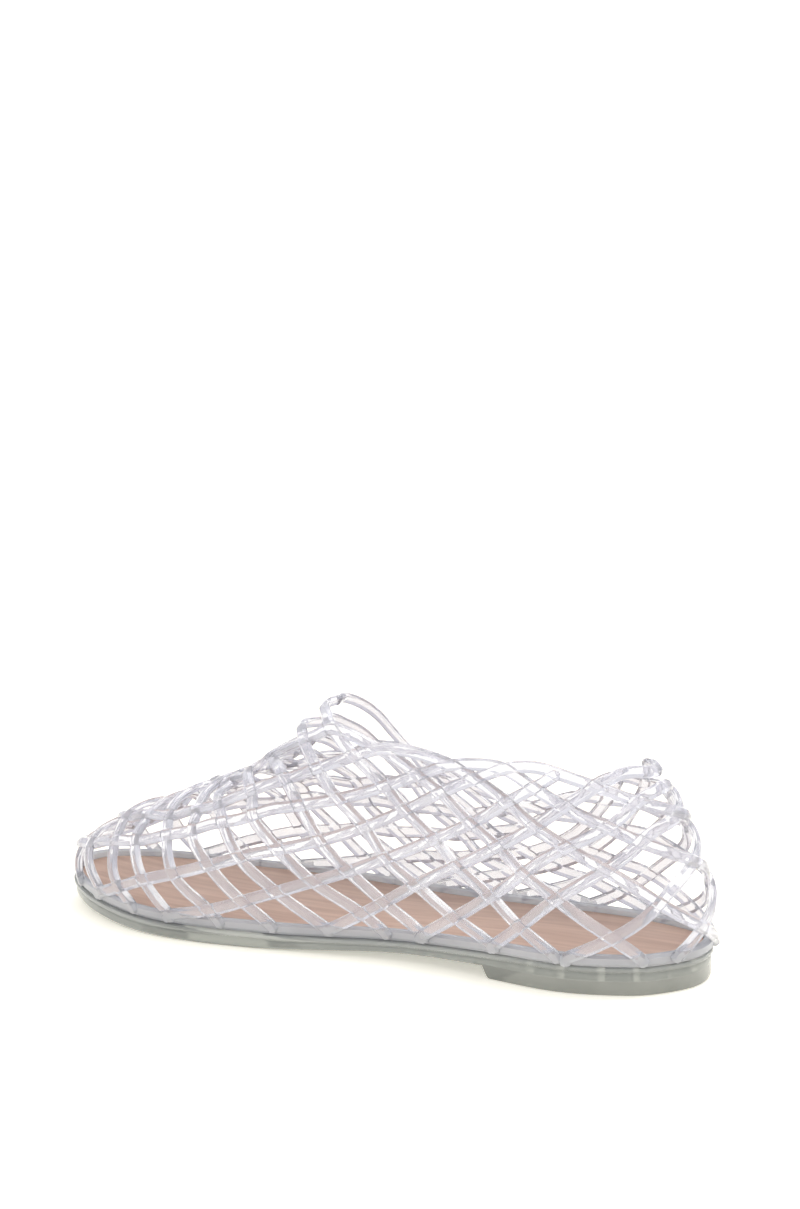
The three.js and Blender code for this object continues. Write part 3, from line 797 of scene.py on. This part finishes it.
def strand_rings(strand):
    """A strand's rings in two halves, because a strand that crosses itself has to be two solids."""
    total = strand.length[-1]
    lengths = np.linspace(0, total, int(total / RING_STEP) + 1)
    around = np.interp(lengths, strand.length, strand.trace[:, 0])
    for leg in range(strand.leg.max()):
        seam = np.nonzero(strand.leg == leg)[0][-1]
        if abs(strand.trace[seam, 0] - strand.trace[seam + 1, 0]) > SEAM_LEAP:
            past = lengths > strand.length[seam]
            around[past] = np.interp(
                lengths[past], strand.length[seam + 1 :], strand.trace[seam + 1 :, 0]
            )
    up = np.interp(lengths, strand.length, strand.trace[:, 1])
    normal = last_normal(around, up)
    centre = last_point(around, up) + normal * weave_offset(strand, lengths)[:, None]
    half = (lengths >= total / 2).astype(int)
    size = np.ones(len(centre))
    if up[0] < FOOT_UP:
        run = foot_run(centre[0], centre[1], normal[0])
        centre = np.concatenate([run[::-1], centre])
        normal = np.concatenate([np.repeat(normal[:1], len(run), 0), normal])
        half = np.concatenate([np.zeros(len(run), int), half])
        size = np.concatenate([np.ones(len(run)), size])
    if up[-1] < FOOT_UP:
        run = foot_run(centre[-1], centre[-2], normal[-1])
        centre = np.concatenate([centre, run])
        normal = np.concatenate([normal, np.repeat(normal[-1:], len(run), 0)])
        half = np.concatenate([half, np.ones(len(run), int)])
        size = np.concatenate([size, np.ones(len(run))])
    size[[0, -1]] = TIP_SIZE
    along = unit(np.gradient(centre, axis=0))
    across = unit(np.cross(along, normal))
    out = np.cross(across, along)
    width = (STRAND_WIDTH / 2 * size)[:, None, None] * RING_ACROSS[None, :, None]
    depth = (STRAND_THICKNESS / 2 * size)[:, None, None] * RING_OUT[None, :, None]
    rings = centre[:, None] + across[:, None] * width + out[:, None] * depth
    middle = int(np.argmax(half))
    return [rings[: middle + 1], rings[middle:]]


# The rim band's section, as shares of its width from the outside and of its height.
BAND_SECTION = [
    (0.25, 0.02),
    (0.0, 0.25),
    (0.0, 0.75),
    (0.25, 0.97),
    (0.75, 1.0),
    (1.0, 0.85),
    (1.0, 0.1),
    (0.8, 0.02),
]


def band_rings():
    """The rim band: a flat strip stood on the sole's edge, rounded along its top and bottom."""
    around = np.linspace(0, 1, SOLE_STEPS + 1)
    inset = np.minimum(section_value("inset", around) * STRAND_THICKNESS, 0) + BAND_RECESS
    tall = CLEARANCE + BAND_HEIGHT - BAND_LIFT
    rings = []
    for side, places, outer_inset in ((-1, around, inset), (1, around[::-1], inset[::-1])):
        for place, outer in list(zip(places, outer_inset))[:-1]:
            ring = []
            for across, up in BAND_SECTION:
                point = outline_point(place, side, outer + (BAND_WIDTH - outer) * across)
                low = sole_top_height(point[1])
                ring.append((*point, low + BAND_LIFT + tall * up))
            rings.append(ring)
    return rings


upper = loft("shoe_upper", band_rings(), loops=True)
bars = []
for strand in strands:
    for rings in strand_rings(strand):
        bars.append(loft("strand", rings))
combine(upper, bars, "UNION")

UPPER_BUMPS = [((220, 220, 220), 0.0005, 0.2), ((1500, 1500, 1500), 0.00006, 0.1)]
clear_plastic = finish_material(
    "clear_plastic",
    [(0.82, 0.82, 0.88), (0.9, 0.9, 0.95)],
    (50, 50, 90),
    (0.03, 0.1),
    UPPER_BUMPS,
    Transmission_Weight=0.76,
    IOR=PLASTIC_IOR,
)
shade(upper, 24, clear_plastic)
frosted_plastic = finish_material(
    "frosted_plastic",
    [(0.6, 0.61, 0.65), (0.7, 0.71, 0.75)],
    (50, 25, 120),
    (0.08, 0.25),
    UPPER_BUMPS,
    Transmission_Weight=0.45,
    IOR=PLASTIC_IOR,
)
finish_faces(
    upper,
    frosted_plastic,
    lambda height, along, up: height < sole_top_height(along) + CLEARANCE + BAND_HEIGHT,
)
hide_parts("upper")
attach(upper, "root")


# The studio: a plain white floor, an even pale room with a brighter top, and a broad soft sun.
FLOOR_REACH = 20
floor_corners = [(x * FLOOR_REACH, y * FLOOR_REACH, 0) for x, y in ((-1, -1), (1, -1), (1, 1), (-1, 1))]
floor_mesh = bpy.data.meshes.new("floor")
floor_mesh.from_pydata(floor_corners, [], [(0, 1, 2, 3)])
floor = bpy.data.objects.new("floor", floor_mesh)
bpy.context.scene.collection.objects.link(floor)
floor_paint = finish_material(
    "floor_paint",
    [(0.94, 0.91, 0.82), (0.96, 0.93, 0.84)],
    (4, 4, 4),
    (0.6, 0.7),
    [((30, 30, 30), 0.0002, 0.05)],
    Emission_Color=(1, 0.98, 0.9, 1),
    Emission_Strength=0.4,
)
floor.data.materials.append(floor_paint)

world = bpy.data.worlds.new("studio")
bpy.context.scene.world = world
world.use_nodes = True
air = world.node_tree
backdrop = air.nodes["Background"]
direction = air.nodes.new("ShaderNodeTexCoord")
split = air.nodes.new("ShaderNodeSeparateXYZ")
ramp = air.nodes.new("ShaderNodeValToRGB")
air.links.new(direction.outputs["Generated"], split.inputs["Vector"])
air.links.new(split.outputs["Z"], ramp.inputs["Fac"])
air.links.new(ramp.outputs["Color"], backdrop.inputs["Color"])
ramp.color_ramp.elements[0].position = 0.0
ramp.color_ramp.elements[0].color = (0.8, 0.8, 0.85, 1)
ramp.color_ramp.elements[1].position = 0.8
ramp.color_ramp.elements[1].color = (1, 1, 1, 1)
backdrop.inputs["Strength"].default_value = 1.0

sun_data = bpy.data.lights.new("soft_sun", "SUN")
sun_data.energy = 1.3
sun_data.angle = math.radians(50)
sun = bpy.data.objects.new("soft_sun", sun_data)
sun.rotation_euler = Vector((0.5, -0.2, 1.0)).to_track_quat("Z", "Y").to_euler()
bpy.context.scene.collection.objects.link(sun)


# The camera: behind the shoe's inner side and a little above it, with a long lens.
AZIMUTH = math.radians(-54.4)
ELEVATION = math.radians(14.5)
ROLL = math.radians(1.86)
DISTANCE = 1.5
FRAME_WIDTH, FRAME_HEIGHT = 800, 1209
FOCAL_PIXELS = 4500
TARGET = Vector((0, 125, 25)) * MM + Vector(HEEL_BACK)
TARGET_PIXEL = (378.6, 863.2)

back = Vector(
    (
        math.sin(AZIMUTH) * math.cos(ELEVATION),
        -math.cos(AZIMUTH) * math.cos(ELEVATION),
        math.sin(ELEVATION),
    )
)
level_right = Vector((math.cos(AZIMUTH), math.sin(AZIMUTH), 0))
level_up = back.cross(level_right)
right = math.cos(ROLL) * level_right - math.sin(ROLL) * level_up
upright = math.sin(ROLL) * level_right + math.cos(ROLL) * level_up
aimed = Matrix((right, upright, back)).transposed()
to_target = Vector(
    (
        (TARGET_PIXEL[0] - FRAME_WIDTH / 2) / FOCAL_PIXELS,
        -(TARGET_PIXEL[1] - FRAME_HEIGHT / 2) / FOCAL_PIXELS,
        -1,
    )
)
turned = Vector((0, 0, -1)).rotation_difference(to_target.normalized()).to_matrix()
camera_data = bpy.data.cameras.new("camera")
camera_data.sensor_width = 36
camera_data.lens = FOCAL_PIXELS * camera_data.sensor_width / FRAME_HEIGHT
camera_data.clip_start = 0.05
camera_data.clip_end = 60
camera = bpy.data.objects.new("camera", camera_data)
camera.matrix_world = Matrix.Translation(TARGET + back * DISTANCE) @ (
    aimed @ turned.inverted()
).to_4x4()
bpy.context.scene.collection.objects.link(camera)
bpy.context.scene.camera = camera
bpy.context.scene.view_settings.view_transform = "Standard"

bpy.context.view_layer.update()
